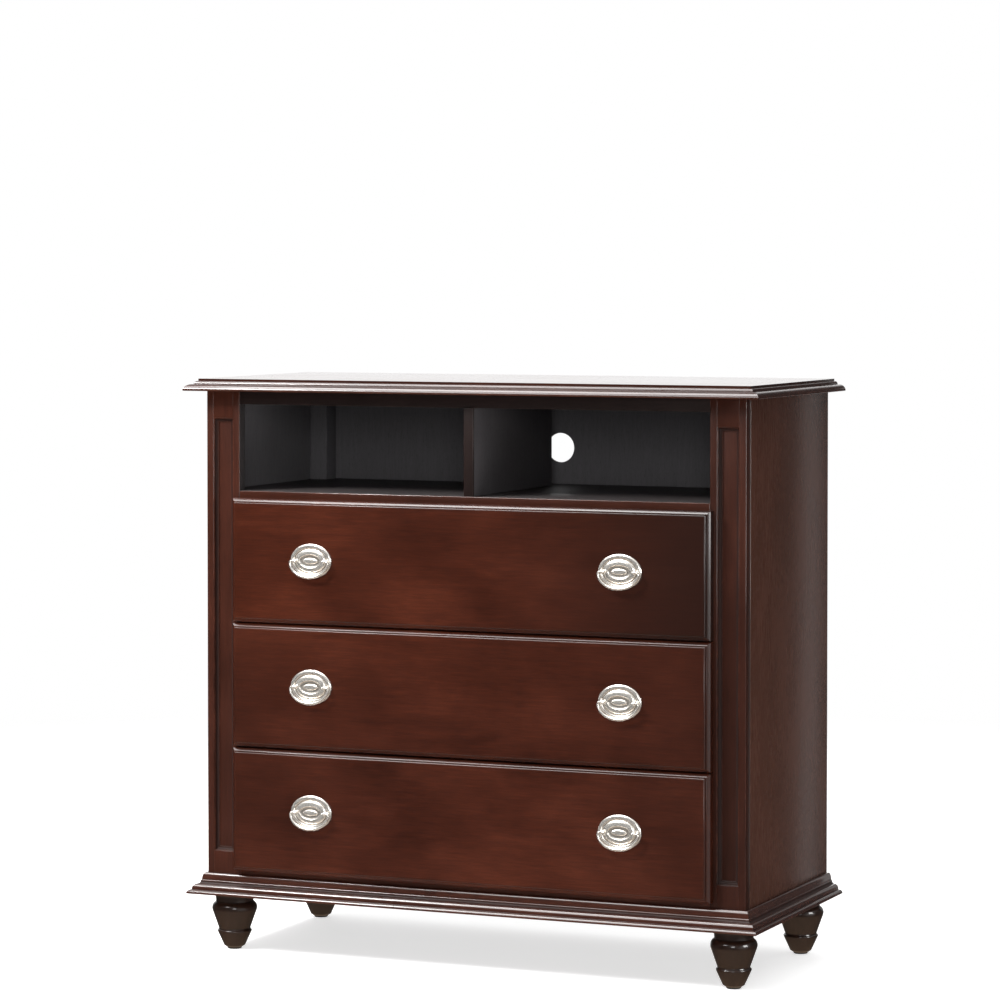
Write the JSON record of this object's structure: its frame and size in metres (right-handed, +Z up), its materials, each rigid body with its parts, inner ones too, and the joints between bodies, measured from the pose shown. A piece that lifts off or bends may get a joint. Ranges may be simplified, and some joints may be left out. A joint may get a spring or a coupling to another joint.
{
  "type": "media chest",
  "caption": "Dark wooden media chest: an open divided bay with a cable hole above a stack of drawers with oval bail pulls, on a moulded base and turned feet.",
  "frame": {"origin": "on the floor, under the middle of the top", "axes": "+X to the right as seen from the front, +Y to the back, +Z up"},
  "size_m": [1.067, 0.4654, 1.0083],
  "materials": {
    "top_wood": "dark cherry stain under glossy lacquer",
    "frame_wood": "dark cherry stain under satin lacquer",
    "side_wood": "dark brown stain under satin lacquer",
    "front_wood": "reddish cherry stain under satin lacquer",
    "foot_wood": "dark brown stain under gloss lacquer",
    "inner_wood": "near-black stain, dull",
    "box_wood": "plain clear-coated drawer stock",
    "nickel": "polished nickel plate"
  },
  "bodies": {
    "case": {"top_panel": "top_wood", "top_moulding_front": "top_wood", "top_moulding_left": "top_wood", "top_moulding_right": "top_wood", "side_panel_left": "side_wood", "side_panel_right": "side_wood", "front_post_left": "frame_wood", "front_post_right": "frame_wood", "post_bead_left": "frame_wood", "post_bead_right": "frame_wood", "rear_post_left": "frame_wood", "rear_post_right": "frame_wood", "top_rail": "frame_wood", "bottom_rail": "frame_wood", "drawer_rail_upper": "frame_wood", "drawer_rail_lower": "frame_wood", "media_shelf": "inner_wood", "media_divider": "inner_wood", "back_panel": "inner_wood", "bottom_panel": "inner_wood", "base_moulding_front": "frame_wood", "base_moulding_left": "frame_wood", "base_moulding_right": "frame_wood", "foot_front_left": "foot_wood", "foot_front_right": "foot_wood", "foot_rear_left": "foot_wood", "foot_rear_right": "foot_wood", "runner_top_left": "box_wood", "runner_top_right": "box_wood", "runner_middle_left": "box_wood", "runner_middle_right": "box_wood", "runner_bottom_left": "box_wood", "runner_bottom_right": "box_wood"},
    "drawer_top": {"drawer_top_front": "front_wood", "drawer_top_side_left": "box_wood", "drawer_top_side_right": "box_wood", "drawer_top_back": "box_wood", "drawer_top_bottom": "box_wood", "pull_plate_top_left": "nickel", "pull_plate_top_right": "nickel"},
    "drawer_middle": {"drawer_middle_front": "front_wood", "drawer_middle_side_left": "box_wood", "drawer_middle_side_right": "box_wood", "drawer_middle_back": "box_wood", "drawer_middle_bottom": "box_wood", "pull_plate_middle_left": "nickel", "pull_plate_middle_right": "nickel"},
    "drawer_bottom": {"drawer_bottom_front": "front_wood", "drawer_bottom_side_left": "box_wood", "drawer_bottom_side_right": "box_wood", "drawer_bottom_back": "box_wood", "drawer_bottom_bottom": "box_wood", "pull_plate_bottom_left": "nickel", "pull_plate_bottom_right": "nickel"},
    "bail_top_left": {"pull_bail_top_left": "nickel"},
    "bail_top_right": {"pull_bail_top_right": "nickel"},
    "bail_middle_left": {"pull_bail_middle_left": "nickel"},
    "bail_middle_right": {"pull_bail_middle_right": "nickel"},
    "bail_bottom_left": {"pull_bail_bottom_left": "nickel"},
    "bail_bottom_right": {"pull_bail_bottom_right": "nickel"}
  },
  "joints": [
    {"name": "drawer_top_slide", "type": "slide", "parent": "case", "child": "drawer_top", "axis": [0, -1, 0], "range_m": [0, 0.29]},
    {"name": "drawer_middle_slide", "type": "slide", "parent": "case", "child": "drawer_middle", "axis": [0, -1, 0], "range_m": [0, 0.29]},
    {"name": "drawer_bottom_slide", "type": "slide", "parent": "case", "child": "drawer_bottom", "axis": [0, -1, 0], "range_m": [0, 0.29]},
    {"name": "bail_top_left_swing", "type": "hinge", "parent": "drawer_top", "child": "bail_top_left", "pos_m": [-0.287, -0.2317, 0.6955], "axis": [-1, 0, 0], "range_deg": [0, 110]},
    {"name": "bail_top_right_swing", "type": "hinge", "parent": "drawer_top", "child": "bail_top_right", "pos_m": [0.287, -0.2317, 0.6955], "axis": [-1, 0, 0], "range_deg": [0, 110]},
    {"name": "bail_middle_left_swing", "type": "hinge", "parent": "drawer_middle", "child": "bail_middle_left", "pos_m": [-0.287, -0.2317, 0.477], "axis": [-1, 0, 0], "range_deg": [0, 110]},
    {"name": "bail_middle_right_swing", "type": "hinge", "parent": "drawer_middle", "child": "bail_middle_right", "pos_m": [0.287, -0.2317, 0.477], "axis": [-1, 0, 0], "range_deg": [0, 110]},
    {"name": "bail_bottom_left_swing", "type": "hinge", "parent": "drawer_bottom", "child": "bail_bottom_left", "pos_m": [-0.287, -0.2317, 0.2585], "axis": [-1, 0, 0], "range_deg": [0, 110]},
    {"name": "bail_bottom_right_swing", "type": "hinge", "parent": "drawer_bottom", "child": "bail_bottom_right", "pos_m": [0.287, -0.2317, 0.2585], "axis": [-1, 0, 0], "range_deg": [0, 110]}
  ]
}
